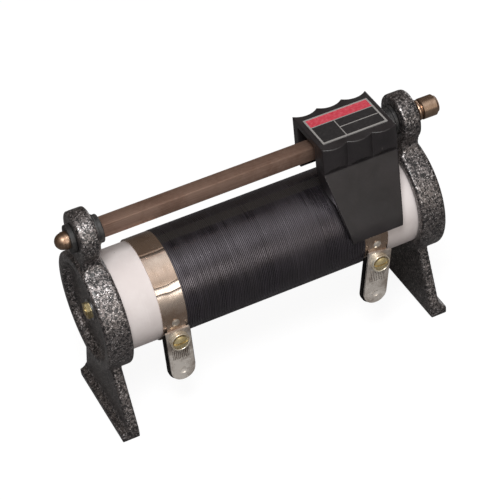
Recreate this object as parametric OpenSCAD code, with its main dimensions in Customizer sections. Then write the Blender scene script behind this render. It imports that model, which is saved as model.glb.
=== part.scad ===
// Tubular slide rheostat: a ceramic tube wound with resistance wire, held between two cast end
// brackets, with a sliding contact on a square bar above it.
// X runs along the tube, Z is up, and the origin is the middle of the footprint.

/* [Ceramic tube and winding] */
// Outer diameter of the ceramic tube
tube_d = 68; // [60:1:76]
// Wall of the ceramic tube
tube_wall = 7; // [5:0.5:10]
// Length of tube showing between the two end brackets
clear_len = 210; // [200:2:300]
// Bare ceramic between each bracket and its terminal band
bare_len = 23; // [20:1:30]
// Diameter of the resistance wire
wire_d = 1.2; // [1.1:0.1:1.6]

/* [Terminal bands] */
// Width of the clamped metal band
band_w = 17; // [14:1:20]
// Thickness of the band's strip
band_t = 1; // [0.8:0.1:1]
// How far the band's tail hangs below the tube's axis
tail_drop = 30; // [28:1:34]
// Shank diameter of the rivet that closes the band
band_rivet_d = 3; // [2.5:0.5:4]
// Depth of the rivet below the tube's axis
band_rivet_drop = 5; // [4:0.5:7]

/* [Terminals] */
// Thickness of the serrated lug
lug_t = 1.6; // [1.2:0.1:2.4]
// Lowest point of the lug below the tube's axis
lug_drop = 54; // [48:1:60]
// Turn of the right lug about its screw, in degrees
lug_turn = 9; // [0:1:12]
// Top edge of the lug below the tube's axis
lug_top = 11; // [10:0.5:13]
// Thickness of the tapped plate behind the lug
back_t = 2.2; // [1.8:0.1:2.6]
// Depth of the terminal screw below the tube's axis
screw_drop = 19; // [18.5:0.5:22]
// Thread diameter of the terminal screw
screw_d = 5; // [4:0.5:6]
// Head diameter of the terminal screw
screw_head_d = 9.6; // [8.5:0.1:11]
// Height of the terminal screw's head
screw_head_h = 3.6; // [3:0.2:5]
// Outer diameter of the cup washer round the screw head
cup_d = 13.4; // [12.8:0.2:15]
// Height of the cup washer
cup_h = 3.2; // [2.6:0.2:4]
// Number of serrations on the lug
serration_n = 9; // [5:1:11]

/* [End brackets] */
// Casting's wall around the tube
rim = 7.5; // [6:0.5:10]
// Width of the ring along the tube
ring_w = 18; // [17:0.5:24]
// How far the tube enters the ring
seat_depth = 8; // [6:0.5:9]
// Depth of the dish in the ring's outer face
dish_depth = 5.5; // [5:0.5:6]
// Width of the lip round the dish
dish_lip = 7; // [5:0.5:10]
// Radius on the ring's and the ear's edges
edge_r = 1.6; // [0.8:0.2:2.4]
// Radius of the ear's round head
ear_r = 17; // [15:0.5:19]
// Width of the ear along the tube
ear_w = 13; // [11:0.5:15]
// Fillet radius of the ear's waist
waist_r = 8; // [6:0.5:11]
// Height of the tube's axis above the table
axis_h = 88; // [76:1:98]
// Thickness of the leg's web
web_t = 7.5; // [6:0.5:8.5]
// Distance of the web from the ring's inner face
web_in = 5.5; // [4:0.5:7]
// Width of the web where it leaves the ring
web_top_w = 40; // [32:1:50]
// Length of the foot, front to back
foot_len = 76; // [68:1:100]
// Thickness of the foot
foot_t = 6; // [4:0.5:8]

/* [Rod and its bushes] */
// Side of the square rod
rod_w = 10; // [8:0.5:11]
// Height of the rod's axis above the tube's axis
rod_rise = 62; // [59:0.5:66]
// Diameter of the rod's threaded ends
stud_d = 8; // [6:0.5:8]
// Flange diameter of the insulating bushes
bush_d = 21; // [19:0.5:24]
// Flange thickness of the inner bushes
bush_in_t = 5.5; // [4:0.5:7]
// Flange thickness of the left outer bush
bush_out_t = 3.5; // [2.5:0.5:5]
// Flange thickness of the right outer bush
bush_thin_t = 1.5; // [1:0.25:3]
// Sleeve diameter of the bushes, inside the ears
sleeve_d = 17; // [16:0.5:18]
// Diameter of the terminal knob at the rod's right end
knob_d = 14.5; // [12:0.5:18]
// Length of the terminal knob
knob_len = 18; // [14:1:24]
// Diameter of the dome nut at the rod's left end
dome_d = 12; // [11:0.5:14]

/* [Slider] */
// Length of the slider along the rod
slider_len = 54; // [49:1:62]
// Gap between the slider and the right inner bush
slider_stop = 2.5; // [1.5:0.5:20]
// Height of the slider's top above the rod's axis
slider_rise = 13.5; // [13:0.5:16]
// Distance of the front wall from the rod's axis
slider_front = 21; // [20:0.5:24]
// Distance of the rear wall from the rod's axis
slider_rear = 22; // [21:0.5:25]
// Wall of the moulding
slider_wall = 3.5; // [3:0.25:4]
// How far the rear wall hangs below the rod's axis
rear_drop = 24; // [18:0.5:26]
// Number of grip flutes on each side
flute_n = 3; // [2:1:4]
// How far the front flutes bulge out
flute_out = 3; // [2:0.25:3.5]
// Height of the front flutes
flute_h = 20; // [16:0.5:24]
// Depth of the scallops in the rear edge
scallop_in = 3.6; // [2.5:0.1:4.5]
// Width of the skirt at its lower edge
skirt_low_w = 37; // [28:1:44]
// Wall of the skirt over the tube
skirt_t = 4.5; // [3.5:0.5:6]
// Height of the skirt's lower edge above the tube's axis
skirt_low = 7; // [4:0.5:12]

/* [Label] */
// Length of the label plate
label_len = 47; // [36:1:47]
// Depth of the label plate, front to back
label_w = 29; // [22:0.5:29]

/* [Sliding contact] */
// Length of the guide block on the rod
guide_len = 38; // [30:1:42]
// Wall of the guide block round the rod
guide_wall = 3.4; // [2.8:0.2:4]
// Width of the contact brush across the tube
brush_w = 9; // [7:0.5:11]
// Length of the contact brush along the tube
brush_len = 12; // [8:1:14]
// Height of the contact brush
brush_h = 5; // [4:0.5:6]
// Thickness of the contact spring's leaf
leaf_t = 0.8; // [0.6:0.1:1.2]

/* [Tie rod] */
// Diameter of the tie rod through the tube
tie_d = 6; // [5:0.5:8]
// Thickness of the tie rod's nuts
tie_nut_h = 3; // [2.5:0.25:3.5]
// Thickness of the gaskets behind the tube's ends
gasket_t = 1.5; // [1:0.25:2]

/* [Hidden] */

$fn = 64;
eps = 0.01;
seat_fit = 0.05;    // between fixed pieces that nest
move_gap = 0.3;     // between a moving piece and what it passes
run_fit = 0.05;     // radial, for a screw that turns in its thread
rod_fit = 0.15;     // each side of the square rod in its guide
hole_fit = 0.3;     // radial, for a shank in a clearance hole

// tube, winding and bands
tube_r = tube_d / 2;
core_r = tube_r - tube_wall;
half = clear_len / 2;
wind_r = tube_r + wire_d;
wind_len = clear_len - 2 * (bare_len + band_w);
turn_n = floor(wind_len / wire_d);
pitch = wind_len / turn_n;
crest = pitch * 0.55;
groove = wire_d * 0.3;
band_r = tube_r + seat_fit + band_t;
band_x = half - bare_len - band_w / 2;

// terminals, stacked outward from the band's tail
tail_y = band_r - band_t;
tail_w = band_w - 4;
lug_w = band_w;
back_edge = 1.2;    // the backing shows this far round the lug
clear_r = max(band_r, wind_r) + move_gap;
back_top = sqrt(clear_r * clear_r - (tail_y - back_t) * (tail_y - back_t));
rivet_head_h = 1;
cup_wall = 1;
cup_floor = 0.8;
slot_w = 1.4;
serration_h = 0.5;
serration_pitch = lug_w / (serration_n + 4);

// brackets
ring_r = tube_r + rim;
ear_x = (ring_w - ear_w) / 2;
ear_in = half + ear_x;
ear_out = ear_in + ear_w;
web_x = web_in;
foot_top = foot_t - axis_h;

// rod ends
bush_step = 1;
bush_collar = 2.4;
dome_base = 3;
dome_r = dome_d / 2 - 0.4;
stud_back = 3;      // how far each stud ends short of its nut's end
knob_neck = 2;
left_end = ear_out + bush_out_t + dome_base + dome_r;
right_end = ear_out + bush_thin_t + knob_len;
mid_x = (right_end - left_end) / 2;

// slider
guide_h = rod_w + 2 * (rod_fit + guide_wall);
slider_x = ear_in - bush_in_t - slider_stop - slider_len / 2;
top_z = rod_rise + slider_rise;
top_t = slider_rise - guide_h / 2;
flute_z = top_z - flute_h;
flute_pitch = slider_len / flute_n;
flute_run = 1.6 * flute_out;
skirt_in_r = wind_r + 1.2;
skirt_out_r = skirt_in_r + skirt_t;
rear_in = slider_rear - slider_wall - scallop_in;
front_in = slider_front - slider_wall;
end_wall = 4;
label_t = 0.8;
label_sink = 0.4;
label_y = (slider_rear - scallop_in - slider_front) / 2;

// guide, spring and brush
guide_low = rod_rise - guide_h / 2;
brush_low = wind_r + move_gap;
brush_top = brush_low + brush_h;
leaf_w = brush_w - 1;
leaf_sag = guide_low - brush_top;
leaf_half = guide_len / 2 - 5;
leaf_r = (leaf_half * leaf_half + leaf_sag * leaf_sag) / (2 * leaf_sag);
leaf_pad = 5;
rivet_r = 1;
leaf_rivet_x = leaf_half + 1.8;

// tie rod
tie_face = half + ring_w - dish_depth;
tie_washer_t = 1;
tie_washer_d = 2.4 * tie_d;
tie_proud = 0.6;

// radius of the circle through a chord with a given rise
function arc_r(chord, rise) = (chord * chord / 4 + rise * rise) / (2 * rise);

// lays a profile drawn in Y and Z along X
module along_x(len) {
    rotate([90, 0, 90]) linear_extrude(len) children();
}

module disc_x(r, len) {
    rotate([0, 90, 0]) cylinder(r = r, h = len);
}

// disc with rounded edges, its axis along X
module soft_disc(r, len, soft) {
    rotate([0, 90, 0])
        rotate_extrude() {
            square([r - soft, len]);
            translate([0, soft]) square([r, len - 2 * soft]);
            for (z = [soft, len - soft]) translate([r - soft, z]) circle(soft, $fn = 24);
        }
}

module hex_x(flats, len) {
    rotate([0, 90, 0]) cylinder(d = flats / cos(30), h = len, $fn = 6);
}

// puts a child made for the right end at either end
module at_end(side) {
    translate([-mid_x, 0, axis_h]) mirror([side < 0 ? 1 : 0, 0, 0]) translate([half, 0, 0]) children();
}

module in_frame() {
    translate([-mid_x, 0, axis_h]) children();
}

// ---- end brackets ----

// waist of the ear: both fillet circles touch the ring and the head
module waist() {
    ring_reach = ring_r + waist_r;
    head_reach = ear_r + waist_r;
    up = (ring_reach * ring_reach - head_reach * head_reach + rod_rise * rod_rise) / (2 * rod_rise);
    out = sqrt(ring_reach * ring_reach - up * up);
    difference() {
        polygon([[0, 0], [out, up], [0, rod_rise], [-out, up]]);
        for (s = [-1, 1]) translate([s * out, up]) circle(waist_r);
    }
}

// web and foot seen along the foot, with the fillet between them
module leg_section() {
    fillet = ring_w - web_x - web_t;
    translate([web_x, -axis_h]) square([web_t, axis_h - tube_r]);
    translate([web_x, -axis_h]) square([ring_w - web_x, foot_t]);
    difference() {
        translate([web_x + web_t - eps, foot_top - eps]) square([fillet * 0.9, fillet * 0.9]);
        translate([web_x + web_t + fillet, foot_top + fillet]) circle(fillet);
    }
}

// outline of the leg seen along the tube
module leg_outline() {
    top = -tube_r * 0.8;
    half_top = web_top_w / 2;
    polygon([
        [-half_top, top], [half_top, top],
        [foot_len / 2, foot_top + 2], [foot_len / 2, -axis_h],
        [-foot_len / 2, -axis_h], [-foot_len / 2, foot_top + 2]
    ]);
}

module leg() {
    intersection() {
        translate([0, foot_len, 0]) rotate([90, 0, 0]) linear_extrude(2 * foot_len) leg_section();
        along_x(ring_w) leg_outline();
    }
}

module bracket() {
    dish_r = ring_r - dish_lip;
    difference() {
        union() {
            soft_disc(ring_r, ring_w, edge_r);
            translate([ear_x, 0, 0]) along_x(ear_w) waist();
            translate([ear_x, 0, rod_rise]) soft_disc(ear_r, ear_w, edge_r);
            leg();
        }
        // seat of the tube
        translate([-eps, 0, 0]) disc_x(tube_r + seat_fit, seat_depth + eps);
        // dished outer face, with sloping sides
        translate([ring_w - dish_depth, 0, 0]) rotate([0, 90, 0])
            cylinder(r1 = dish_r - 3, r2 = dish_r, h = dish_depth + eps);
        disc_x(tie_d / 2 + hole_fit, ring_w);
        translate([ear_x - eps, 0, rod_rise]) disc_x(sleeve_d / 2 + seat_fit, ear_w + 2 * eps);
    }
}

module bracket_left() {
    color("dimgray") at_end(-1) bracket();
}

module bracket_right() {
    color("dimgray") at_end(1) bracket();
}

// ---- tube, winding and tie rod ----

module ceramic_tube() {
    len = clear_len + 2 * (seat_depth - gasket_t);
    color("white") in_frame() translate([-len / 2, 0, 0]) difference() {
        disc_x(tube_r, len);
        translate([-eps, 0, 0]) disc_x(core_r, len + 2 * eps);
    }
}

// close-wound turns: one flat crest and one groove a turn
module resistance_winding() {
    turns = [for (i = [0 : turn_n - 1], p = [[0, wind_r - groove], [(pitch - crest) / 2, wind_r],
        [(pitch + crest) / 2, wind_r]]) [p[1], i * pitch + p[0]]];
    color("black") in_frame() translate([-wind_len / 2, 0, 0]) rotate([0, 90, 0])
        rotate_extrude($fn = 96)
            polygon(concat([[tube_r + seat_fit, 0]], turns,
                [[wind_r - groove, wind_len], [tube_r + seat_fit, wind_len]]));
}

module tube_gasket(side) {
    color("tan") at_end(side) translate([seat_depth - gasket_t, 0, 0]) difference() {
        disc_x(tube_r, gasket_t);
        translate([-eps, 0, 0]) disc_x(core_r, gasket_t + 2 * eps);
    }
}

module tie_rod() {
    len = 2 * (tie_face + tie_washer_t + tie_nut_h + tie_proud);
    color("goldenrod") in_frame() translate([-len / 2, 0, 0]) difference() {
        disc_x(tie_d / 2, len);
        for (x = [-eps, len - 1.2]) translate([x, -tie_d, -0.5]) cube([1.2 + eps, 2 * tie_d, 1]);
    }
}

module tie_washers() {
    color("silver") for (side = [-1, 1]) at_end(side)
        translate([ring_w - dish_depth, 0, 0]) difference() {
            disc_x(tie_washer_d / 2, tie_washer_t);
            translate([-eps, 0, 0]) disc_x(tie_d / 2 + hole_fit, tie_washer_t + 2 * eps);
        }
}

module tie_nut(side) {
    color("goldenrod") at_end(side) translate([ring_w - dish_depth + tie_washer_t, 0, 0])
        difference() {
            hex_x(1.7 * tie_d, tie_nut_h);
            translate([-eps, 0, 0]) disc_x(tie_d / 2 + seat_fit, tie_nut_h + 2 * eps);
        }
}

// ---- terminal bands and terminals ----

// places a child at a band, Y pointing to the front of the rheostat
module at_band(side) {
    in_frame() translate([side * band_x, 0, 0]) children();
}

// plate hanging in front of the tube, with a round lower end; y is its front face
module hanging_plate(w, top, low, y, t) {
    translate([0, -y + t, 0]) rotate([90, 0, 0]) linear_extrude(t) {
        translate([-w / 2, -low + w / 2]) square([w, low - top - w / 2]);
        translate([0, -low + w / 2]) circle(w / 2);
    }
}

// turns a child in the plane of the lug, about the screw
module about_screw(angle) {
    translate([0, 0, -screw_drop]) rotate([0, angle, 0]) translate([0, 0, screw_drop]) children();
}

module terminal_band(side) {
    color("silver") at_band(side) difference() {
        union() {
            difference() {
                translate([-band_w / 2, 0, 0]) disc_x(band_r, band_w);
                translate([-band_w, 0, 0]) disc_x(tube_r + seat_fit, 2 * band_w);
            }
            translate([-tail_w / 2, -band_r, -tail_drop]) cube([tail_w, band_t, tail_drop]);
        }
        translate([0, 0, -screw_drop]) rotate([90, 0, 0]) cylinder(r = screw_d / 2 + hole_fit, h = 2 * band_r);
        translate([0, 0, -band_rivet_drop]) rotate([90, 0, 0])
            cylinder(d = band_rivet_d + 2 * seat_fit, h = 2 * band_r);
    }
}

// rivet through the lap of each band, its head raised at the front
module band_rivets() {
    color("gainsboro") for (side = [-1, 1]) at_band(side) translate([0, 0, -band_rivet_drop]) {
        intersection() {
            rotate([90, 0, 0]) cylinder(d = band_rivet_d, h = band_r + eps);
            translate([-band_w, -2 * band_r, -band_w]) difference() {
                cube([2 * band_w, 2 * band_r, 2 * band_w]);
                translate([-eps, 2 * band_r, band_w + band_rivet_drop]) disc_x(tube_r + seat_fit, 3 * band_w);
            }
        }
        translate([0, -band_r, 0]) rotate([90, 0, 0]) cylinder(d = 1.8 * band_rivet_d, h = rivet_head_h * 0.5);
        translate([0, -band_r - rivet_head_h * 0.5, 0]) rotate([90, 0, 0])
            cylinder(d1 = 1.8 * band_rivet_d, d2 = band_rivet_d, h = rivet_head_h * 0.5);
    }
}

module terminal_lug(side) {
    color("silver") at_band(side) about_screw(side > 0 ? lug_turn : 0) difference() {
        union() {
            hanging_plate(lug_w, lug_top, lug_drop, band_r + lug_t, lug_t);
            // serrations that bite the wire
            for (i = [0 : serration_n - 1])
                translate([(i - (serration_n - 1) / 2) * serration_pitch, -band_r - lug_t + eps, -screw_drop - cup_d / 2 - 9])
                    linear_extrude(8)
                        polygon([[-serration_pitch * 0.4, 0], [0, -serration_h], [serration_pitch * 0.4, 0]]);
        }
        translate([0, 0, -screw_drop]) rotate([90, 0, 0]) cylinder(r = screw_d / 2 + hole_fit, h = 2 * band_r);
        // pressed dimple near the lower end
        translate([0, -band_r - lug_t - 4.2, -lug_drop + lug_w / 2 - 0.5]) sphere(5, $fn = 48);
    }
}

// tapped plate behind the band's tail, its top cut level below the winding
module lug_backing(side) {
    color("black") at_band(side) difference() {
        about_screw(side > 0 ? lug_turn : 0)
            hanging_plate(lug_w + 2 * back_edge, lug_top, lug_drop + back_edge, tail_y, back_t);
        translate([-lug_w, -2 * band_r, -back_top]) cube([2 * lug_w, 2 * band_r, band_r]);
        translate([0, 0, -screw_drop]) rotate([90, 0, 0]) cylinder(r = screw_d / 2 + run_fit, h = 2 * band_r);
    }
}

module cup_washer(side) {
    color("silver") at_band(side) translate([0, -band_r - lug_t, -screw_drop]) rotate([90, 0, 0])
        rotate_extrude() {
            translate([screw_d / 2 + hole_fit, 0]) square([cup_d / 2 - screw_d / 2 - hole_fit, cup_floor]);
            translate([cup_d / 2 - cup_wall, 0]) square([cup_wall, cup_h - cup_wall / 2]);
            translate([cup_d / 2 - cup_wall / 2, cup_h - cup_wall / 2]) circle(cup_wall / 2, $fn = 24);
        }
}

// slotted screw with a domed head
module terminal_screw(side) {
    seat = band_r + lug_t + cup_floor;
    shank = seat - tail_y + back_t;
    head_r = screw_head_d / 2;
    head_gap = move_gap / 3;
    dome_h = 1.2;
    color("gold") at_band(side) translate([0, -seat, -screw_drop]) rotate([90, 0, 0]) difference() {
        union() {
            translate([0, 0, -shank]) cylinder(d = screw_d, h = shank + 1);
            translate([0, 0, head_gap]) cylinder(r = head_r, h = screw_head_h - dome_h - head_gap);
            intersection() {
                translate([0, 0, screw_head_h - arc_r(2 * head_r, dome_h)]) sphere(arc_r(2 * head_r, dome_h));
                translate([0, 0, screw_head_h - dome_h - eps]) cylinder(r = head_r, h = 2 * dome_h);
            }
        }
        translate([-head_r - 1, -slot_w / 2, screw_head_h - 1.8]) cube([2 * head_r + 2, slot_w, 3]);
    }
}

// ---- rod, bushes and rod ends ----

// square bar with a round threaded stud at each end
module slider_rod() {
    square_half = half + ear_x + ear_w / 2;
    color("rosybrown") in_frame() translate([0, 0, rod_rise]) {
        translate([-square_half, -rod_w / 2, -rod_w / 2]) cube([2 * square_half, rod_w, rod_w]);
        translate([square_half - eps, 0, 0]) disc_x(stud_d / 2, right_end - square_half - stud_back);
        translate([-left_end + stud_back, 0, 0])
            disc_x(stud_d / 2, left_end - square_half - stud_back + eps);
    }
}

// flanged bush in the ear with a square hole for the rod
module bush_inner() {
    sleeve = ear_w / 2 - seat_fit;
    translate([-bush_in_t + ear_x, 0, rod_rise]) difference() {
        union() {
            soft_disc(bush_d / 2 - bush_step, bush_in_t, 0.8);
            translate([bush_in_t - bush_collar, 0, 0]) soft_disc(bush_d / 2, bush_collar, 0.6);
            disc_x(sleeve_d / 2, bush_in_t + sleeve);
        }
        translate([-eps, -rod_w / 2 - seat_fit, -rod_w / 2 - seat_fit])
            cube([bush_in_t + sleeve + 2 * eps, rod_w + 2 * seat_fit, rod_w + 2 * seat_fit]);
    }
}

// bush from the outside with a round hole for the stud
module bush_outer(flange) {
    sleeve = ear_w / 2 - seat_fit;
    translate([ear_x + ear_w - sleeve, 0, rod_rise]) difference() {
        union() {
            disc_x(sleeve_d / 2, sleeve + eps);
            translate([sleeve, 0, 0]) soft_disc(bush_d / 2 - 1, flange, min(0.5, flange / 3));
        }
        translate([-eps, 0, 0]) disc_x(stud_d / 2 + hole_fit, sleeve + flange + 2 * eps);
    }
}

module rod_dome_nut() {
    color("peru") at_end(-1) translate([ear_x + ear_w + bush_out_t, 0, rod_rise]) difference() {
        union() {
            disc_x(dome_d / 2, dome_base);
            translate([dome_base, 0, 0]) intersection() {
                sphere(dome_r);
                disc_x(dome_d, dome_d);
            }
        }
        translate([-eps, 0, 0]) disc_x(stud_d / 2 + seat_fit, dome_base + dome_r - stud_back + eps);
    }
}

// turned terminal knob: neck, bead and body with a chamfered end
module rod_terminal_knob() {
    r = knob_d / 2;
    turn_gap = move_gap / 3;
    len = knob_len - turn_gap;
    bead_z = knob_neck + 1.5;
    color("peru") at_end(1) translate([ear_x + ear_w + bush_thin_t + turn_gap, 0, rod_rise])
        rotate([0, 90, 0]) difference() {
            rotate_extrude() {
                square([r * 0.78, len]);
                translate([0, bead_z - 1.5]) square([r - 1.5, 3]);
                translate([r - 1.5, bead_z]) circle(1.5, $fn = 24);
                translate([0, bead_z + 2]) polygon([
                    [0, 0], [r - 0.8, 0], [r, 0.8],
                    [r, len - bead_z - 4], [r - 2, len - bead_z - 2], [0, len - bead_z - 2]
                ]);
            }
            translate([0, 0, -eps]) cylinder(r = stud_d / 2 + run_fit, h = knob_len - stud_back + 0.4);
        }
}

// ---- slider ----

// outline of the moulding seen along the rod
module slider_outline() {
    corner = [-slider_front, flute_z];
    reach = norm(corner);
    touch = atan2(corner[1], corner[0]) + acos(skirt_out_r / reach);
    translate([-slider_front, flute_z]) square([slider_front + slider_rear, flute_h]);
    translate([rear_in, rod_rise - rear_drop]) square([slider_rear - rear_in, rear_drop + slider_rise]);
    difference() {
        union() {
            polygon([corner, skirt_out_r * [cos(touch), sin(touch)], [0, 0], [-rod_w / 2 - 4, flute_z]]);
            intersection() {
                circle(skirt_out_r);
                // starts at the corner, so the curved wall runs on inside the straight one
                polygon([[0, 0], 2 * skirt_out_r / reach * corner, [-2 * skirt_out_r, 0]]);
            }
        }
        translate([-2 * skirt_out_r, -2 * skirt_out_r])
            square([4 * skirt_out_r, 2 * skirt_out_r + skirt_low]);
        translate([-rod_w / 2 - 4, 0]) square([skirt_out_r, flute_z + 1]);
    }
}

// hollow of the moulding between its end walls
module slider_hollow() {
    corner = [-front_in, flute_z];
    touch = atan2(corner[1], corner[0]) + acos(skirt_in_r / norm(corner));
    translate([-front_in, flute_z - eps]) square([front_in + rear_in, flute_h - top_t + eps]);
    polygon([corner, skirt_in_r * [cos(touch), sin(touch)], [0, 0], [rear_in, 0], [rear_in, flute_z]]);
}

// side view trim: the skirt narrows towards its lower edge
module skirt_trim() {
    side = slider_len / 2;
    low = skirt_low_w / 2;
    for (s = [-1, 1]) polygon([
        [s * side, flute_z - 2], [s * low, skirt_low], [s * low, skirt_low - 2], [s * (side + 2), skirt_low - 2],
        [s * (side + 2), flute_z - 2]
    ]);
}

module slider_body() {
    hollow_len = slider_len - 2 * end_wall;
    window_y = -rod_w / 2 - 4;
    bulge_r = arc_r(flute_pitch, flute_out);
    scallop_r = arc_r(flute_pitch, scallop_in);
    color("darkslategray") in_frame() translate([slider_x, 0, 0]) difference() {
        union() {
            translate([-slider_len / 2, 0, 0]) along_x(slider_len) slider_outline();
            // front flutes
            intersection() {
                for (i = [0 : flute_n - 1])
                    translate([(i - (flute_n - 1) / 2) * flute_pitch, -slider_front - flute_out + bulge_r, flute_z])
                        cylinder(r = bulge_r, h = flute_h);
                // their lower ends slope back to the skirt
                translate([-slider_len / 2, 0, 0]) along_x(slider_len) polygon([
                    [-slider_front + 1, flute_z], [-slider_front, flute_z],
                    [-slider_front - 2 * flute_out, flute_z + 2 * flute_run],
                    [-slider_front - 2 * flute_out, top_z], [-slider_front + 1, top_z]
                ]);
            }
        }
        translate([-hollow_len / 2, 0, 0]) along_x(hollow_len) slider_hollow();
        // way through for the rod, open below
        translate([-slider_len, window_y, 0])
            cube([2 * slider_len, rear_in - window_y, top_z - top_t]);
        translate([-slider_len, 0, 0]) disc_x(skirt_in_r, 2 * slider_len);
        // scallops down the rear wall
        for (i = [0 : flute_n - 1])
            translate([(i - (flute_n - 1) / 2) * flute_pitch, slider_rear - scallop_in + scallop_r, 0])
                cylinder(r = scallop_r, h = top_z + 1);
        rotate([90, 0, 0]) linear_extrude(2 * skirt_out_r) skirt_trim();
        // bed of the label
        translate([-label_len / 2 - seat_fit, label_y - label_w / 2 - seat_fit, top_z - label_sink])
            cube([label_len + 2 * seat_fit, label_w + 2 * seat_fit, label_sink + eps]);
        for (x = [-1, 1]) translate([x * guide_len / 4, 0, 0]) {
            cylinder(r = 1.5 + seat_fit, h = top_z);
            translate([0, 0, top_z - label_sink - 1.6]) cylinder(r = 2.9, h = 4);
        }
    }
}

module slider_label() {
    color("firebrick") in_frame() translate([slider_x, label_y, top_z - label_sink])
        difference() {
            translate([-label_len / 2, -label_w / 2, 0]) cube([label_len, label_w, label_t]);
            // raised border and header bar stand above the field
            translate([-label_len / 2 + 1, -label_w / 2 + 1, label_t - 0.2])
                cube([label_len - 2, label_w * 0.7 - 1, 1]);
        }
}

module slider_guide() {
    side = guide_h / 2;
    hole = rod_w / 2 + rod_fit;
    color("darkgoldenrod") in_frame() translate([slider_x, 0, rod_rise]) difference() {
        translate([-guide_len / 2, -side, -side]) cube([guide_len, 2 * side, 2 * side]);
        translate([-guide_len, -hole, -hole]) cube([2 * guide_len, 2 * hole, 2 * hole]);
        for (x = [-1, 1]) translate([x * guide_len / 4, 0, 0]) cylinder(r = 1.5 + seat_fit, h = 2 * side);
        for (x = [-1, 1]) translate([x * leaf_rivet_x, 0, -2 * side])
            cylinder(r = rivet_r + seat_fit, h = 2 * side);
    }
}

// countersunk screws under the label that hold the guide
module guide_screws() {
    head_z = top_z - label_sink;
    shank_z = rod_rise + rod_w / 2 + rod_fit + 0.6;
    color("silver") in_frame() for (x = [-1, 1]) translate([slider_x + x * guide_len / 4, 0, 0]) difference() {
        union() {
            translate([0, 0, shank_z]) cylinder(r = 1.5, h = head_z - shank_z - 1);
            translate([0, 0, head_z - 1.6]) cylinder(r1 = 1.5, r2 = 2.7, h = 1.4);
        }
        translate([-4, -0.35, head_z - 0.8]) cube([8, 0.7, 2]);
    }
}

// bowed leaf: its ends lie under the guide and its middle carries the brush
module contact_spring() {
    color("goldenrod") in_frame() translate([slider_x, 0, 0]) difference() {
        translate([0, leaf_w / 2, 0]) rotate([90, 0, 0]) linear_extrude(leaf_w) {
            difference() {
                translate([0, brush_top + leaf_r]) circle(leaf_r, $fn = 128);
                translate([0, brush_top + leaf_r]) circle(leaf_r - leaf_t, $fn = 128);
                translate([-2 * leaf_r, guide_low]) square(4 * leaf_r);
            }
            for (s = [-1, 1]) translate([s * leaf_rivet_x - leaf_pad / 2, guide_low - leaf_t])
                square([leaf_pad, leaf_t]);
        }
        for (s = [-1, 1]) translate([s * leaf_rivet_x, 0, guide_low - 2 * leaf_t])
            cylinder(r = rivet_r + seat_fit, h = 3 * leaf_t);
    }
}

module spring_rivets() {
    head = 0.6;
    color("gainsboro") in_frame() for (s = [-1, 1])
        translate([slider_x + s * leaf_rivet_x, 0, guide_low - leaf_t - head]) {
            cylinder(r = 1.7 * rivet_r, h = head);
            cylinder(r = rivet_r, h = head + leaf_t + guide_wall - seat_fit);
        }
}

// carbon block, hollowed below to the winding's curve
module contact_brush() {
    color("black") in_frame() difference() {
        translate([slider_x - brush_len / 2, -brush_w / 2, brush_low - 1])
            cube([brush_len, brush_w, brush_h + 1]);
        translate([slider_x - brush_len, 0, 0]) disc_x(brush_low, 2 * brush_len);
    }
}

bracket_left();
bracket_right();
ceramic_tube();
resistance_winding();
tube_gasket(-1);  // tube_gasket_left
tube_gasket(1);  // tube_gasket_right
tie_rod();
tie_washers();
tie_nut(-1);  // tie_nut_left
tie_nut(1);  // tie_nut_right
terminal_band(-1);  // terminal_band_left
terminal_band(1);  // terminal_band_right
band_rivets();
terminal_lug(-1);  // terminal_lug_left
terminal_lug(1);  // terminal_lug_right
lug_backing(-1);  // lug_backing_left
lug_backing(1);  // lug_backing_right
cup_washer(-1);  // cup_washer_left
cup_washer(1);  // cup_washer_right
terminal_screw(-1);  // terminal_screw_left
terminal_screw(1);  // terminal_screw_right
slider_rod();
color("black") at_end(-1) bush_inner();  // rod_bush_left_inner
color("black") at_end(1) bush_inner();  // rod_bush_right_inner
color("black") at_end(-1) bush_outer(bush_out_t);  // rod_bush_left_outer
color("black") at_end(1) bush_outer(bush_thin_t);  // rod_bush_right_outer
rod_dome_nut();
rod_terminal_knob();
slider_body();
slider_label();
slider_guide();
guide_screws();
contact_spring();
spring_rivets();
contact_brush();
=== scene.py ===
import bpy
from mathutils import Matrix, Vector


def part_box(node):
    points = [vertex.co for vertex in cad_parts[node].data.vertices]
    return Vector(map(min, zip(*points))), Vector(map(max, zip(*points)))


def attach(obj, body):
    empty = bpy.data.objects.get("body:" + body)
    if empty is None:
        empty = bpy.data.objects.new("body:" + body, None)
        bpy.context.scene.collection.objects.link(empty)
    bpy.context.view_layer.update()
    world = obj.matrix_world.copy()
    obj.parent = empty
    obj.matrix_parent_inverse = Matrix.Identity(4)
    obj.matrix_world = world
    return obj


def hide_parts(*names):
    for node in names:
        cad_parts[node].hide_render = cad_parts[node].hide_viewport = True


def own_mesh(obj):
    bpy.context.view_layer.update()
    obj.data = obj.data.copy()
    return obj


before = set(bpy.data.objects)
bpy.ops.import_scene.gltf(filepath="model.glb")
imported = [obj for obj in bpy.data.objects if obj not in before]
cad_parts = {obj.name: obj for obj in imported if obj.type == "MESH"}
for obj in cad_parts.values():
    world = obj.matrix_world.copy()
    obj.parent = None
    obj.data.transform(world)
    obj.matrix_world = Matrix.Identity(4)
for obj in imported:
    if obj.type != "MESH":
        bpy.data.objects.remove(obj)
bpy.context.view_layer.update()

import math
import bpy
from mathutils import Matrix, Vector

# ---- End brackets ----
# Two iron castings, each a thick ring with a round ear above it and a leg with a turned-out foot below.
# Every corner is rounded by the sand mould, and the whole casting is sprayed with hammer enamel: silver
# flakes drawn into a net over black.


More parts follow.
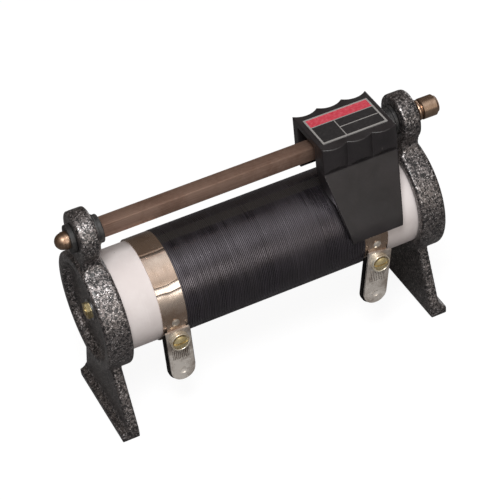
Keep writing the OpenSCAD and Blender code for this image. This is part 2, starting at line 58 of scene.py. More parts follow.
def put(tree, kind, feeds=None, **settings):
    """Adds a shader node, with a value or a link for each socket in feeds."""
    made = tree.nodes.new("ShaderNode" + kind)
    for name, value in settings.items():
        setattr(made, name, value)
    for socket, value in (feeds or {}).items():
        if isinstance(value, bpy.types.NodeSocket):
            tree.links.new(value, made.inputs[socket])
        else:
            made.inputs[socket].default_value = value
    return made


def new_group(name, takes, gives):
    """An empty shader node group; returns its tree, what comes in and what goes out."""
    group = bpy.data.node_groups.new(name, "ShaderNodeTree")
    for way, sockets in (("INPUT", takes), ("OUTPUT", gives)):
        for socket, kind in sockets:
            group.interface.new_socket(socket, in_out=way, socket_type="NodeSocket" + kind)
    return group, group.nodes.new("NodeGroupInput").outputs, group.nodes.new("NodeGroupOutput").inputs


def sums(tree, operation, first, second=0.0):
    return put(tree, "Math", {0: first, 1: second}, operation=operation).outputs[0]


def step(tree, value, low, high):
    """0 below low and 1 above high, with a soft step between them."""
    return put(tree, "MapRange", {"Value": value, "From Min": low, "From Max": high},
               interpolation_type="SMOOTHSTEP").outputs["Result"]


def blend(tree, factor, first, second):
    """Mixes two colours."""
    return put(tree, "Mix", {0: factor, 6: first, 7: second}, data_type="RGBA").outputs[2]


def between(tree, factor, first, second):
    """Mixes two numbers."""
    return put(tree, "Mix", {0: factor, 2: first, 3: second}).outputs[0]


def noise(tree, vector, scale, detail, roughness=0.5, distortion=0.0):
    return put(tree, "TexNoise", {"Vector": vector, "Scale": scale, "Detail": detail,
                                  "Roughness": roughness, "Distortion": distortion}).outputs[0]


def bump(tree, height, strength, distance, under=None):
    """A normal raised by height, over another normal where one is given."""
    feeds = {"Height": height, "Strength": strength, "Distance": distance}
    if under is not None:
        feeds["Normal"] = under
    return put(tree, "Bump", feeds).outputs[0]


def new_finish(name, **plain):
    """A new material; returns it, its tree, its shader and the object coordinates."""
    material = bpy.data.materials.new(name)
    material.use_nodes = True
    tree = material.node_tree
    shader = tree.nodes["Principled BSDF"]
    for socket, value in plain.items():
        shader.inputs[socket.replace("_", " ")].default_value = value
    return material, tree, shader, tree.nodes.new("ShaderNodeTexCoord").outputs["Object"]


def drive(tree, shader, **links):
    """Links what varies over a piece to the shader's sockets."""
    for socket, value in links.items():
        tree.links.new(value, shader.inputs[socket.replace("_", " ")])


def deselect():
    if bpy.context.object and bpy.context.object.mode != "OBJECT":
        bpy.ops.object.mode_set(mode="OBJECT")
    bpy.ops.object.select_all(action="DESELECT")


def pick(piece):
    """Makes piece the one selected object."""
    deselect()
    piece.select_set(True)
    bpy.context.view_layer.objects.active = piece


def apply_modifier(piece, name, kind, **settings):
    pick(piece)
    made = piece.modifiers.new(name, kind)
    for key, value in settings.items():
        setattr(made, key, value)
    bpy.ops.object.modifier_apply(modifier=made.name)


def merged_copy(node, name):
    """Copies a node's mesh and merges its triangles at their corners."""
    piece = bpy.data.objects.new(name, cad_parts[node].data.copy())
    bpy.context.scene.collection.objects.link(piece)
    pick(piece)
    piece.data.materials.clear()
    bpy.ops.object.mode_set(mode="EDIT")
    bpy.ops.mesh.select_all(action="SELECT")
    bpy.ops.mesh.remove_doubles(threshold=0.00001)
    bpy.ops.mesh.customdata_custom_splitnormals_clear()
    bpy.ops.object.mode_set(mode="OBJECT")
    return piece


def rounded_copy(node, name, grain, passes):
    """Copies a node's mesh and rounds its corners, as a mould leaves them."""
    piece = merged_copy(node, name)
    apply_modifier(piece, "grain", "REMESH", mode="VOXEL", voxel_size=grain)
    apply_modifier(piece, "soften", "SMOOTH", factor=0.5, iterations=passes)
    bpy.ops.object.shade_smooth()
    return piece


# shared effect: paint rubbed thin along edges, broken up by a fine noise
rub_breakup = 0.08
edge_rub, given, out = new_group("edge rub", [("Vector", "Vector"), ("Start", "Float"), ("Full", "Float"),
                                              ("Breakup", "Float")], [("Mask", "Float")])
corners = put(edge_rub, "NewGeometry").outputs["Pointiness"]
patchy = noise(edge_rub, given["Vector"], given["Breakup"], 5.0)
rubbed = sums(edge_rub, "ADD", corners,
              sums(edge_rub, "MULTIPLY", sums(edge_rub, "SUBTRACT", patchy, 0.5), rub_breakup))
edge_rub.links.new(step(edge_rub, rubbed, given["Start"], given["Full"]), out["Mask"])

enamel, tree, shader, place = new_finish("hammer enamel", IOR=1.5, Specular_IOR_Level=0.6)
flake_net = noise(tree, place, 600.0, 1.5, 0.5, 1.1)
flake_size = noise(tree, place, 60.0, 2.0)
flakes = step(tree, sums(tree, "ADD", flake_net, sums(tree, "MULTIPLY", flake_size, 0.12)), 0.535, 0.585)
lone = put(tree, "TexVoronoi", {"Vector": place, "Scale": 1500.0})
glint = step(tree, put(tree, "SeparateColor", {0: lone.outputs["Color"]}).outputs[0], 0.80, 0.97)
silver = blend(tree, glint, (0.19, 0.171, 0.167, 1), (0.62, 0.59, 0.59, 1))
black = blend(tree, glint, (0.009, 0.008, 0.0085, 1), (0.035, 0.033, 0.034, 1))
worn = put(tree, "Group", {"Vector": place, "Start": 0.56, "Full": 0.66, "Breakup": 500.0},
           node_tree=edge_rub).outputs["Mask"]
sand = noise(tree, place, 120.0, 3.0)
dimples = bump(tree, sums(tree, "MULTIPLY", flake_net, -1.0), 0.5, 0.0005)
drive(tree, shader,
      Base_Color=blend(tree, sums(tree, "MULTIPLY", worn, 0.35), blend(tree, flakes, black, silver),
                       (0.55, 0.54, 0.54, 1)),
      Metallic=sums(tree, "MULTIPLY", flakes, 0.80),
      Roughness=between(tree, flakes, 0.30, 0.36),
      Normal=bump(tree, sand, 0.35, 0.0006, dimples))

for side in ("left", "right"):
    casting = rounded_copy("bracket_" + side, "casting_" + side, 0.0011, 4)
    casting.data.materials.append(enamel)
    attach(casting, "frame")
    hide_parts("bracket_" + side)

# ---- Ceramic tube ----
# A fired steatite tube that seats in both rings. It is unglazed, a warm white with faint turning marks
# and a few dark specks from the kiln.


def dress(material, *names):
    """Gives CAD nodes their finish."""
    for name in names:
        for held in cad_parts[name].material_slots:
            held.material = material


def stretched(tree, place, scale):
    """Object coordinates squeezed along some axes, so that marks run long there."""
    return put(tree, "Mapping", {"Vector": place, "Scale": scale}).outputs[0]


steatite, tree, shader, place = new_finish("steatite", IOR=1.5, Specular_IOR_Level=0.4)
cloud = noise(tree, place, 32.0, 5.0, 0.6)
warm_white = blend(tree, step(tree, cloud, 0.32, 0.68), (0.64, 0.585, 0.575, 1), (0.73, 0.68, 0.672, 1))
kiln = put(tree, "TexVoronoi", {"Vector": place, "Scale": 420.0})
few = sums(tree, "GREATER_THAN", put(tree, "SeparateColor", {0: kiln.outputs["Color"]}).outputs[0], 0.975)
speck = sums(tree, "MULTIPLY", sums(tree, "LESS_THAN", kiln.outputs["Distance"], 0.16), few)
turning = noise(tree, stretched(tree, place, (1.0, 0.02, 0.02)), 900.0, 2.0)
pores = noise(tree, place, 1400.0, 3.0)
drive(tree, shader,
      Base_Color=blend(tree, sums(tree, "MULTIPLY", speck, 0.55), warm_white, (0.24, 0.20, 0.17, 1)),
      Roughness=between(tree, cloud, 0.48, 0.68),
      Normal=bump(tree, sums(tree, "ADD", turning, sums(tree, "MULTIPLY", pores, 0.6)), 0.22, 0.0003))
dress(steatite, "ceramic_tube")

# ---- Resistance winding ----
# Oxidised alloy wire wound turn against turn, so the black oxide insulates each turn from the next.
# The contact has polished a narrow bare track along the top.


def weighed(tree, first, share, second, other_share):
    """Adds two numbers, each times its share."""
    return sums(tree, "ADD", sums(tree, "MULTIPLY", first, share),
                sums(tree, "MULTIPLY", second, other_share))


def fade(tree, value, near, far):
    """1 below near and 0 above far, with a soft step between them."""
    return step(tree, sums(tree, "MULTIPLY", value, -1.0), -far, -near)


track_bare = 0.0030
track_edge = 0.0046
track_wobble = 0.003
low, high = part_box("resistance_winding")
axis_z = (low.z + high.z) / 2
wire, tree, shader, place = new_finish("oxidised wire", IOR=1.95, Specular_IOR_Level=0.62,
                                       Specular_Tint=(1.0, 0.92, 1.0, 1))
parts = put(tree, "SeparateXYZ", {0: place}).outputs
turns = noise(tree, stretched(tree, place, (1.0, 0.012, 0.012)), 700.0, 3.0, 0.7)
bloom = noise(tree, place, 45.0, 4.0, 0.6)
oxide = blend(tree, step(tree, weighed(tree, turns, 0.6, bloom, 0.4), 0.36, 0.66),
              (0.004, 0.0038, 0.0046, 1), (0.021, 0.0185, 0.0235, 1))
wobble = sums(tree, "MULTIPLY", sums(tree, "SUBTRACT", bloom, 0.5), track_wobble)
off_track = sums(tree, "ABSOLUTE", sums(tree, "ADD", parts["Y"], wobble))
on_top = sums(tree, "GREATER_THAN", parts["Z"], axis_z)
track = sums(tree, "MULTIPLY", sums(tree, "MULTIPLY", fade(tree, off_track, track_bare, track_edge), on_top),
             step(tree, turns, 0.34, 0.52))
uneven_lay = noise(tree, stretched(tree, place, (1.0, 0.03, 0.03)), 130.0, 3.0)
dull = between(tree, step(tree, uneven_lay, 0.35, 0.65), 0.25, 0.42)
drive(tree, shader,
      Base_Color=blend(tree, track, oxide, (0.085, 0.078, 0.075, 1)),
      Metallic=between(tree, track, 0.22, 0.75),
      Roughness=between(tree, track, dull, 0.30),
      Normal=bump(tree, turns, 0.35, 0.0003))
dress(wire, "resistance_winding")

# ---- Gaskets behind the tube's ends ----
# Rings of pressed fibre board that cushion the ceramic in its iron seats. They are cut from sheet, with
# short mixed fibres in the surface.
board, tree, shader, place = new_finish("fibre board", IOR=1.45, Specular_IOR_Level=0.25)
fibres = noise(tree, place, 900.0, 6.0, 0.75, 2.0)
drive(tree, shader,
      Base_Color=blend(tree, step(tree, fibres, 0.35, 0.65), (0.26, 0.18, 0.12, 1), (0.48, 0.37, 0.26, 1)),
      Roughness=between(tree, fibres, 0.75, 0.95),
      Normal=bump(tree, fibres, 0.4, 0.0003))
dress(board, "tube_gasket_left", "tube_gasket_right")

# ---- Tie rod, washers and nuts ----
# A brass rod runs through the tube and draws the two brackets together with a brass nut and a zinc-plated
# washer in each dish. The rod's ends are slotted for a screwdriver.

# shared effect: soft smears of handling that change the gloss
smears, given, out = new_group("smears", [("Vector", "Vector"), ("Scale", "Float")], [("Mask", "Float")])
wide = noise(smears, given["Vector"], given["Scale"], 3.0, 0.55, 0.4)
fine = noise(smears, given["Vector"], sums(smears, "MULTIPLY", given["Scale"], 9.0), 4.0)
smears.links.new(step(smears, weighed(smears, wide, 0.75, fine, 0.25), 0.38, 0.62), out["Mask"])

# shared effect: fine scratches drawn in one direction; stretch the vector before it comes in
drawn, given, out = new_group("drawn lines", [("Vector", "Vector"), ("Scale", "Float")],
                              [("Mask", "Float"), ("Height", "Float")])
long_lines = noise(drawn, given["Vector"], given["Scale"], 4.0, 0.7)
short_lines = noise(drawn, given["Vector"], sums(drawn, "MULTIPLY", given["Scale"], 3.1), 3.0, 0.6)
both = weighed(drawn, long_lines, 0.6, short_lines, 0.4)
drawn.links.new(step(drawn, both, 0.38, 0.62), out["Mask"])
drawn.links.new(both, out["Height"])


def smeared(tree, place, scale):
    return put(tree, "Group", {"Vector": place, "Scale": scale}, node_tree=smears).outputs["Mask"]


def lined(tree, place, stretch, scale):
    """Mask and height of drawn lines that run long where stretch is small."""
    return put(tree, "Group", {"Vector": stretched(tree, place, stretch), "Scale": scale},
               node_tree=drawn).outputs


def metal(name, dark, light, gloss, stretch, line_scale=900.0, line_depth=0.25, smear_scale=70.0, **plain):
    """A bare or plated metal with drawn lines, uneven colour and a gloss that varies where it was handled."""
    material, tree, shader, place = new_finish(name, **{"Metallic": 1.0, **plain})
    lines = lined(tree, place, stretch, line_scale)
    tone = weighed(tree, lines["Mask"], 0.45, smeared(tree, place, smear_scale), 0.55)
    drive(tree, shader,
          Base_Color=blend(tree, tone, dark, light),
          Roughness=between(tree, tone, gloss[1], gloss[0]),
          Normal=bump(tree, lines["Height"], line_depth, 0.0002))
    return material


turned_brass = metal("turned brass", (0.50, 0.39, 0.18, 1), (0.90, 0.77, 0.46, 1), (0.2, 0.38),
                     (1.0, 1.0, 1.0), line_scale=1600.0, line_depth=0.2, Metallic=0.78)
zinc = metal("zinc plate", (0.40, 0.41, 0.42, 1), (0.62, 0.63, 0.65, 1), (0.25, 0.45), (1.0, 1.0, 1.0))
dress(turned_brass, "tie_rod", "tie_nut_left", "tie_nut_right")
dress(zinc, "tie_washers")

# ---- Terminal bands and their rivets ----
# Spring strip, nickel plated, drawn tight round the end of the winding and riveted in front. Bending it by
# hand leaves it wavy, with creases that break up what it reflects. The creases are darkened with painted
# shade, and the strip just below each is paler with painted highlight.
# each crease is bumped in and darkened with painted shade
creases = ((14, 0.045), (52, 0.022), (61, 0.03))  # degrees from the top, half width in radians
crease_waver = 0.09
# painted highlight below each crease: full up to the first angle past it, in radians, and gone by the second
highlight_start = 0.06
highlight_end = 0.46


def nickel_plate(name, dark, light, gloss, tone=None, shade_marks=None, **plain):
    """Nickel on strip. The tone and the dark marks of one piece come from functions of its own: the tone
    paints highlight and the marks paint shade.
    """
    material, tree, shader, place = new_finish(name, **plain)
    lines = lined(tree, place, (1.0, 0.03, 0.03), 1500.0)
    handled = smeared(tree, place, 55.0)
    # with a tone function, most of the colour's blend is painted highlight and the rest is handling smears
    lit = between(tree, 0.7, handled, tone(tree, place)) if tone else handled
    colour = blend(tree, lit, dark, light)
    waves = noise(tree, place, 85.0, 1.0)
    bent = bump(tree, waves, 0.30, 0.0012)
    if shade_marks:
        shade_mark = shade_marks(tree, place, waves)
        # the marks darken the colour with painted shade and are bumped in as well
        colour = blend(tree, sums(tree, "MULTIPLY", shade_mark, 0.75), colour, (0.10, 0.07, 0.055, 1))
        bent = bump(tree, sums(tree, "MULTIPLY", shade_mark, -1.0), 0.7, 0.0004, bent)
    drive(tree, shader,
          Base_Color=colour,
          Roughness=between(tree, weighed(tree, lines["Mask"], 0.4, handled, 0.6), gloss[1], gloss[0]),
          Normal=bump(tree, lines["Height"], 0.08, 0.0002, bent))
    return material


def around(tree, place):
    """Angle round the tube, from its top towards the front."""
    parts = put(tree, "SeparateXYZ", {0: place}).outputs
    forward = sums(tree, "MULTIPLY", parts["Y"], -1.0)
    return sums(tree, "ARCTAN2", forward, sums(tree, "SUBTRACT", parts["Z"], axis_z))


def fold_lines_and_shade(tree, place, waves):
    """Uneven lines where the strip was creased, bumped in and darkened with painted shade."""
    turn = sums(tree, "ADD", around(tree, place),
                sums(tree, "MULTIPLY", sums(tree, "SUBTRACT", waves, 0.5), crease_waver))
    fold = 0.0
    for angle, half_width in creases:
        off = sums(tree, "ABSOLUTE", sums(tree, "SUBTRACT", turn, math.radians(angle)))
        fold = sums(tree, "MAXIMUM", fade(tree, off, 0.0, half_width), fold)
    return fold


def painted_fold_highlight(tree, place):
    """Painted highlight: pale just below each crease, where the strip turns to the light, and tan further on.
    """
    turn = around(tree, place)
    painted_pale = 0.0
    for angle, _ in creases:
        past = sums(tree, "SUBTRACT", turn, math.radians(angle))
        below = sums(tree, "GREATER_THAN", past, 0.0)
        lit = sums(tree, "MULTIPLY", fade(tree, past, highlight_start, highlight_end), below)
        painted_pale = sums(tree, "MAXIMUM", lit, painted_pale)
    return painted_pale


# the band's colour runs from its dark tan to its pale nickel by the painted highlight below each crease
band_nickel = nickel_plate("creased nickel", (0.36, 0.255, 0.19, 1), (0.74, 0.625, 0.54, 1), (0.20, 0.34),
                           painted_fold_highlight, fold_lines_and_shade, Metallic=0.88)
rivet_nickel = nickel_plate("rivet nickel", (0.42, 0.37, 0.32, 1), (0.86, 0.80, 0.73, 1), (0.2, 0.36),
                            Metallic=0.7)
dress(band_nickel, "terminal_band_left", "terminal_band_right")
dress(rivet_nickel, "band_rivets")

# ---- Terminal lugs, cup washers and backing plates ----
# A stamped lug hangs from each band, with teeth standing out below the screw to bite the wire, in front of
# a tapped steel plate. Lugs and cup washers are nickel plated, and the plate behind is coloured near black.
# Painted shade darkens the gaps between the teeth and the lug near its cup.
right_lug_lean = math.radians(9)
tooth_gap = 0.00131
comb_half_width = 4.5 * tooth_gap
comb_bottom, comb_top = -0.0162, -0.0072  # from the middle of the screw
cup_shade = (-0.0095, -0.0060)


def toothed(side, lean):
    """Marks for one lug: painted shade, dark between its teeth and near its cup. The lug hangs turned about
    its screw by lean.
    """
    screw = sum(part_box("terminal_screw_" + side), Vector()) / 2

    def tooth_shade(tree, place, waves):
        from_screw = put(tree, "VectorMath", {0: place, 1: screw}, operation="SUBTRACT").outputs[0]
        upright = put(tree, "Mapping", {"Vector": from_screw, "Rotation": (0, -lean, 0)}).outputs[0]
        parts = put(tree, "SeparateXYZ", {0: upright}).outputs
        comb = sums(tree, "COSINE", sums(tree, "MULTIPLY", parts["X"], 2 * math.pi / tooth_gap))
        # painted shade in the grooves between the teeth
        gaps = fade(tree, comb, -0.9, 0.1)
        inside = sums(tree, "MULTIPLY", sums(tree, "GREATER_THAN", parts["Z"], comb_bottom),
                      sums(tree, "LESS_THAN", parts["Z"], comb_top))
        across = sums(tree, "LESS_THAN", sums(tree, "ABSOLUTE", parts["X"]), comb_half_width)
        teeth = sums(tree, "MULTIPLY", gaps, sums(tree, "MULTIPLY", inside, across))
        shade = sums(tree, "MULTIPLY", step(tree, parts["Z"], *cup_shade), sums(tree, "MULTIPLY", waves, 0.9))
        return sums(tree, "MAXIMUM", teeth, shade)

    return tooth_shade


for side, lean in (("left", 0.0), ("right", right_lug_lean)):
    lug_nickel = nickel_plate("lug nickel " + side, (0.40, 0.345, 0.30, 1), (0.95, 0.895, 0.83, 1),
                              (0.2, 0.36), shade_marks=toothed(side, lean), Metallic=0.62)
    dress(lug_nickel, "terminal_lug_" + side)
cup_nickel = nickel_plate("plated cup", (0.62, 0.53, 0.40, 1), (0.95, 0.90, 0.78, 1), (0.16, 0.30),
                          Metallic=0.7)
# the plate behind each lug is coloured near black
near_black = metal("blackened steel", (0.012, 0.012, 0.013, 1), (0.075, 0.072, 0.07, 1), (0.35, 0.55),
                  (1.0, 1.0, 0.05))
dress(cup_nickel, "cup_washer_left", "cup_washer_right")
dress(near_black, "lug_backing_left", "lug_backing_right")

# ---- Terminal screws ----
# Slotted screws with a low domed head, turned from brass and left bright. Each sits down in its cup
# washer.
dress(turned_brass, "terminal_screw_left", "terminal_screw_right")

# ---- Slider rod ----
# A square brass bar with a threaded stud turned on each end. Years of handling have browned it, and it
# keeps fine lines from drawing along its length.
stud_r = 0.004
stud_sunk = 0.002
bar_edge = 0.0002
stud_edge = 0.0003
low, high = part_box("slider_rod")
bar_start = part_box("rod_bush_left_inner")[0].x
bar_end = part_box("rod_bush_right_inner")[1].x
bar_side = high.z - low.z
bar_mid = (low + high) / 2


def soften_edges(radius):
    """Applies the placing of the piece just made and rounds all its edges."""
    bpy.ops.object.transform_apply(location=True, rotation=True, scale=True)
    bpy.ops.object.mode_set(mode="EDIT")
    bpy.ops.mesh.select_all(action="SELECT")
    bpy.ops.mesh.bevel(offset=radius, segments=2, affect="EDGES")
    bpy.ops.object.mode_set(mode="OBJECT")


deselect()
bpy.ops.mesh.primitive_cube_add(size=1, location=((bar_start + bar_end) / 2, bar_mid.y, bar_mid.z))
bar = bpy.context.object
bar.name = "square_bar"
bar.scale = (bar_end - bar_start, bar_side, bar_side)
soften_edges(bar_edge)
studs = []
for start, end in ((low.x, bar_start + stud_sunk), (bar_end - stud_sunk, high.x)):
    deselect()
    bpy.ops.mesh.primitive_cylinder_add(vertices=64, radius=stud_r, depth=end - start,
                                        location=((start + end) / 2, bar_mid.y, bar_mid.z),
                                        rotation=(0, math.pi / 2, 0))
    studs.append(bpy.context.object)
    soften_edges(stud_edge)
pick(bar)
for stud in studs:
    stud.select_set(True)
bpy.ops.object.join()
bpy.ops.object.transform_apply(location=True, rotation=True, scale=True)
bpy.ops.object.shade_smooth_by_angle(angle=math.radians(35))
browned = metal("browned brass", (0.235, 0.140, 0.103, 1), (0.45, 0.300, 0.235, 1), (0.36, 0.50),
                (0.012, 1.0, 1.0), line_scale=1500.0, line_depth=0.35, smear_scale=40.0, Metallic=0.8)
bar.data.materials.append(browned)
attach(bar, "frame")
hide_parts("slider_rod")

# ---- Bushes in the ears ----
# Turned from black insulating fibre. They keep the bar, which carries current, clear of the iron ears.
# The lathe leaves faint rings.
fibre_black, tree, shader, place = new_finish("black fibre", IOR=1.5, Specular_IOR_Level=0.45)
mottle = noise(tree, place, 260.0, 6.0, 0.7)
lathe = noise(tree, stretched(tree, place, (1.0, 0.05, 0.05)), 2200.0, 2.0)
drive(tree, shader,
      Base_Color=blend(tree, step(tree, mottle, 0.35, 0.7), (0.012, 0.012, 0.013, 1),
                       (0.045, 0.043, 0.042, 1)),
      Roughness=between(tree, smeared(tree, place, 90.0), 0.55, 0.36),
      Normal=bump(tree, sums(tree, "ADD", lathe, mottle), 0.18, 0.0003))
dress(fibre_black, "rod_bush_left_inner", "rod_bush_right_inner", "rod_bush_left_outer",
      "rod_bush_right_outer")

# ---- Dome nut and terminal knob ----
# Both are turned from brass rod and screwed on the studs: a dome nut locks the left end, and the knob at
# the right clamps a wire. They have gone the copper brown of the bar and keep more of a shine.
knob_brass = metal("knob brass", (0.24, 0.15, 0.10, 1), (0.58, 0.42, 0.31, 1), (0.22, 0.42), (1.0, 0.04, 0.04),
                   line_scale=1800.0, line_depth=0.3, smear_scale=80.0)
dress(knob_brass, "rod_dome_nut", "rod_terminal_knob")

# ---- Slider body ----
# A compression moulding in black phenolic: flat top with a bed for the label, three finger flutes in
# front, three scallops behind, and a skirt that covers the front of the tube. Corners are soft and the
# skin is glossier in the smears that fingers leave.
phenolic, tree, shader, place = new_finish("phenolic", IOR=1.55, Specular_IOR_Level=0.5)
flow = noise(tree, place, 55.0, 5.0, 0.6, 1.2)
worn = put(tree, "Group", {"Vector": place, "Start": 0.53, "Full": 0.62, "Breakup": 350.0},
           node_tree=edge_rub).outputs["Mask"]
black = blend(tree, step(tree, flow, 0.25, 0.75), (0.0105, 0.0090, 0.0100, 1),
              (0.0185, 0.0155, 0.0170, 1))
drive(tree, shader,
      Base_Color=blend(tree, sums(tree, "MULTIPLY", worn, 0.3), black, (0.11, 0.10, 0.095, 1)),
      Roughness=between(tree, smeared(tree, place, 60.0), 0.47, 0.32),
      Normal=bump(tree, noise(tree, place, 1100.0, 4.0, 0.6), 0.16, 0.0003))
moulding = rounded_copy("slider_body", "slider_moulding", 0.0004, 7)
apply_modifier(moulding, "thin", "DECIMATE", ratio=0.45)
bpy.ops.object.shade_smooth()
moulding.data.materials.append(phenolic)
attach(moulding, "slider")
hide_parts("slider_body")

# ---- Label ----
# A thin aluminium plate let into the slider's top. The bare metal stands as a border and as thin rules
# between the printed fields: a red header along the rear, and black boxes that are left blank.
border = 0.0012
rule = 0.0006
header = 0.0082
column_share = 0.36
row_share = 0.5
ink_depth = 0.00018
low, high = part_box("slider_label")
inner_x = (low.x + border, high.x - border)
inner_y = (low.y + border, high.y - border)
header_y = inner_y[1] - header
column_x = inner_x[0] + (inner_x[1] - inner_x[0]) * column_share
row_y = inner_y[0] + (header_y - inner_y[0]) * row_share


def printed(centre, normal):
    """True for a printed field of the label."""
    if normal.z < 0.5 or not (inner_x[0] < centre.x < inner_x[1] and inner_y[0] < centre.y < inner_y[1]):
        return False
    if centre.y > header_y:
        return True
    if header_y - rule < centre.y:
        return False
    on_column = column_x < centre.x < column_x + rule
    on_row = row_y < centre.y < row_y + rule and centre.x > column_x
    return not on_column and not on_row


def select_faces(piece, test):
    """Selects, in edit mode, the faces whose middle and normal pass a test."""
    bpy.ops.object.mode_set(mode="OBJECT")
    bpy.context.tool_settings.mesh_select_mode = (False, False, True)
    for part in list(piece.data.edges) + list(piece.data.vertices):
        part.select = False
    for face in piece.data.polygons:
        face.select = bool(test(face.center, face.normal))
    bpy.ops.object.mode_set(mode="EDIT")


deselect()
bpy.ops.mesh.primitive_cube_add(size=1, location=(low + high) / 2)
plate = bpy.context.object
plate.name = "label_plate"
plate.scale = high - low
bpy.ops.object.transform_apply(location=True, rotation=True, scale=True)
bpy.ops.object.mode_set(mode="EDIT")
for x in (inner_x[0], column_x, column_x + rule, inner_x[1]):
    bpy.ops.mesh.select_all(action="SELECT")
    bpy.ops.mesh.bisect(plane_co=(x, 0, 0), plane_no=(1, 0, 0))
for y in (inner_y[0], row_y, row_y + rule, header_y - rule, header_y, inner_y[1]):
    bpy.ops.mesh.select_all(action="SELECT")
    bpy.ops.mesh.bisect(plane_co=(0, y, 0), plane_no=(0, 1, 0))
select_faces(plate, printed)
bpy.ops.mesh.extrude_region_move(TRANSFORM_OT_translate={"value": (0, 0, -ink_depth)})
bpy.ops.object.mode_set(mode="OBJECT")

bare, tree, shader, place = new_finish("bare aluminium", Metallic=0.75)
lines = lined(tree, place, (0.02, 1.0, 1.0), 2500.0)
drive(tree, shader,
      Base_Color=blend(tree, lines["Mask"], (0.66, 0.655, 0.65, 1), (0.86, 0.855, 0.85, 1)),
      Roughness=between(tree, lines["Mask"], 0.42, 0.26))


def print_ink(name, thin, full, rough):
    """Ink on the plate, a little uneven, with fine pinholes."""
    material, tree, shader, place = new_finish(name, IOR=1.5, Specular_IOR_Level=0.5)
    uneven = noise(tree, place, 500.0, 5.0, 0.7)
    drive(tree, shader,
          Base_Color=blend(tree, step(tree, uneven, 0.3, 0.62), thin, full),
          Roughness=between(tree, uneven, rough + 0.12, rough),
          Normal=bump(tree, uneven, 0.1, 0.0002))
    return material


red_ink = print_ink("red ink", (0.60, 0.10, 0.13, 1), (0.50, 0.035, 0.06, 1), 0.35)
black_ink = print_ink("black ink", (0.020, 0.018, 0.019, 1), (0.009, 0.008, 0.009, 1), 0.45)
for material in (bare, red_ink, black_ink):
    plate.data.materials.append(material)
for face in plate.data.polygons:
    sunk = face.normal.z > 0.5 and face.center.z < high.z - ink_depth / 2
    face.material_index = 0 if not sunk else 1 if face.center.y > header_y else 2
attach(plate, "slider")
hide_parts("slider_label")

# ---- Guide, its screws, the contact spring and the brush ----
# A brass tube of square section slides on the bar and is held in the moulding by two countersunk screws.
# A bowed phosphor-bronze leaf is riveted below it and presses the carbon brush on the track.
guide_brass = metal("dull brass", (0.15, 0.13, 0.07, 1), (0.36, 0.31, 0.17, 1), (0.32, 0.5), (0.03, 1.0, 1.0),
                    line_scale=1300.0, line_depth=0.3)
spring_bronze = metal("spring bronze", (0.42, 0.25, 0.12, 1), (0.72, 0.48, 0.26, 1), (0.2, 0.36),
                      (0.04, 1.0, 1.0))
dress(guide_brass, "slider_guide")
dress(zinc, "guide_screws")
dress(turned_brass, "spring_rivets")

leaf = merged_copy("contact_spring", "bowed_leaf")
bpy.ops.object.shade_smooth_by_angle(angle=math.radians(35))
leaf.data.materials.append(spring_bronze)
low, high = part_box("contact_spring")
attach(leaf, "slider")
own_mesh(leaf)
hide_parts("contact_spring")

carbon, tree, shader, place = new_finish("pressed carbon", IOR=1.6, Specular_IOR_Level=0.5)
grain = noise(tree, place, 1300.0, 5.0, 0.7)
drive(tree, shader,
      Base_Color=blend(tree, step(tree, grain, 0.4, 0.7), (0.010, 0.010, 0.011, 1), (0.06, 0.06, 0.062, 1)),
      Roughness=between(tree, grain, 0.6, 0.4),
      Normal=bump(tree, grain, 0.25, 0.0002))
dress(carbon, "contact_brush")

# ---- Floor, light and camera ----
# A wide pale table, with a key light above the camera, a weaker one low in front and a broad one low at
# the rear. The camera sees a white surround, and the metals reflect a dim warm room with three soft glows.
deselect()
bpy.ops.mesh.primitive_plane_add(size=12, location=(0, 0, 0))
table = bpy.context.object
table.name = "table_top"
bpy.ops.object.transform_apply(location=True, rotation=True, scale=True)
paper, tree, shader, place = new_finish("white paper", Specular_IOR_Level=0.2,
                                        Emission_Color=(1.0, 1.0, 1.0, 1))
soft = noise(tree, place, 6.0, 3.0)
seen = tree.nodes.new("ShaderNodeLightPath").outputs["Is Camera Ray"]
drive(tree, shader,
      Base_Color=blend(tree, soft, (0.14, 0.14, 0.145, 1), (0.155, 0.155, 0.155, 1)),
      Emission_Strength=sums(tree, "MULTIPLY", seen, 0.90),
      Roughness=between(tree, soft, 0.7, 0.8))
table.data.materials.append(paper)

world = bpy.data.worlds.new("surround")
bpy.context.scene.world = world
world.use_nodes = True
sky = world.node_tree
aim = sky.nodes.new("ShaderNodeTexCoord").outputs["Generated"]


def towards(azimuth, elevation):
    """Unit vector from the middle of the rheostat, with azimuth turning from the front to the left."""
    turn, rise = math.radians(azimuth), math.radians(elevation)
    return Vector((-math.sin(turn) * math.cos(rise), -math.cos(turn) * math.cos(rise), math.sin(rise)))


def glow(azimuth, elevation, wide, narrow):
    """A soft round patch of light in the surround, given by the cosines of its edges."""
    along = put(sky, "VectorMath", {0: aim, 1: towards(azimuth, elevation)}, operation="DOT_PRODUCT")
    return step(sky, along.outputs["Value"], wide, narrow)


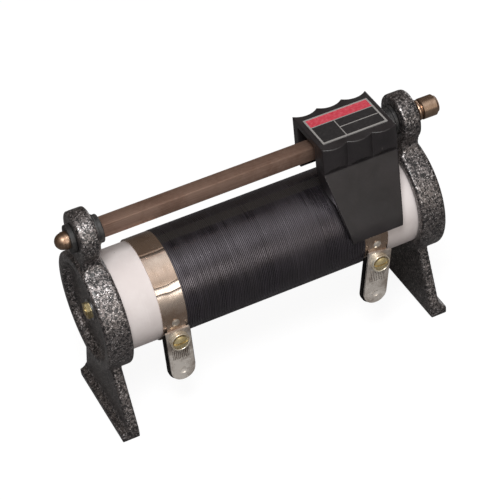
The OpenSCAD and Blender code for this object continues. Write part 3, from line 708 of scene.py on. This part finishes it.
room = blend(sky, glow(22, 64, 0.62, 0.90), (0.17, 0.145, 0.125, 1), (1.45, 1.42, 1.40, 1))
room = blend(sky, glow(-20, 12, 0.80, 0.96), room, (0.85, 0.78, 0.70, 1))
room = blend(sky, glow(75, 30, 0.84, 0.97), room, (0.55, 0.50, 0.46, 1))
seen = sky.nodes.new("ShaderNodeLightPath").outputs["Is Camera Ray"]
sky.links.new(blend(sky, seen, room, (1.5, 1.5, 1.5, 1)), sky.nodes["Background"].inputs["Color"])
sky.nodes["Background"].inputs["Strength"].default_value = 0.7

centre = Vector((bar_mid.x, 0, axis_z))


def soft_light(name, azimuth, elevation, distance, size, power, colour=(1, 1, 1)):
    """A square soft box that faces the middle of the rheostat."""
    lamp = bpy.data.lights.new(name, "AREA")
    lamp.size, lamp.energy, lamp.color = size, power, colour
    box = bpy.data.objects.new(name, lamp)
    bpy.context.scene.collection.objects.link(box)
    box.location = centre + towards(azimuth, elevation) * distance
    box.rotation_euler = towards(azimuth, elevation).to_track_quat("Z", "Y").to_euler()


soft_light("key", 26, 60, 1.1, 0.36, 7.0)
soft_light("front", 0, 22, 1.3, 0.5, 3.0, (1.0, 0.97, 0.94))
soft_light("rear", 235, 14, 1.6, 0.8, 5.0)

view_azimuth, view_elevation = 21.5, 40.4
view_roll = math.radians(-6.6)
view_distance = 1.290
view_middle = Vector((-0.0037, 0, axis_z))
shift_across, shift_up = 0.0026, 0.0021
focal_widths = 3.892  # focal length in widths of the frame
back = towards(view_azimuth, view_elevation)
level = Vector((0, 0, 1)).cross(back).normalized()
upright = back.cross(level)
across = level * math.cos(view_roll) + upright * math.sin(view_roll)
upward = upright * math.cos(view_roll) - level * math.sin(view_roll)
lens = bpy.data.cameras.new("camera")
lens.sensor_width = 36
lens.lens = focal_widths * lens.sensor_width
lens.clip_end = 50
camera = bpy.data.objects.new("camera", lens)
bpy.context.scene.collection.objects.link(camera)
stand = view_middle + back * view_distance - across * shift_across - upward * shift_up
facing = Matrix((across, upward, back)).transposed().to_4x4()
camera.matrix_world = Matrix.Translation(stand) @ facing
bpy.context.scene.camera = camera
bpy.context.scene.view_settings.view_transform = "Standard"

deselect()
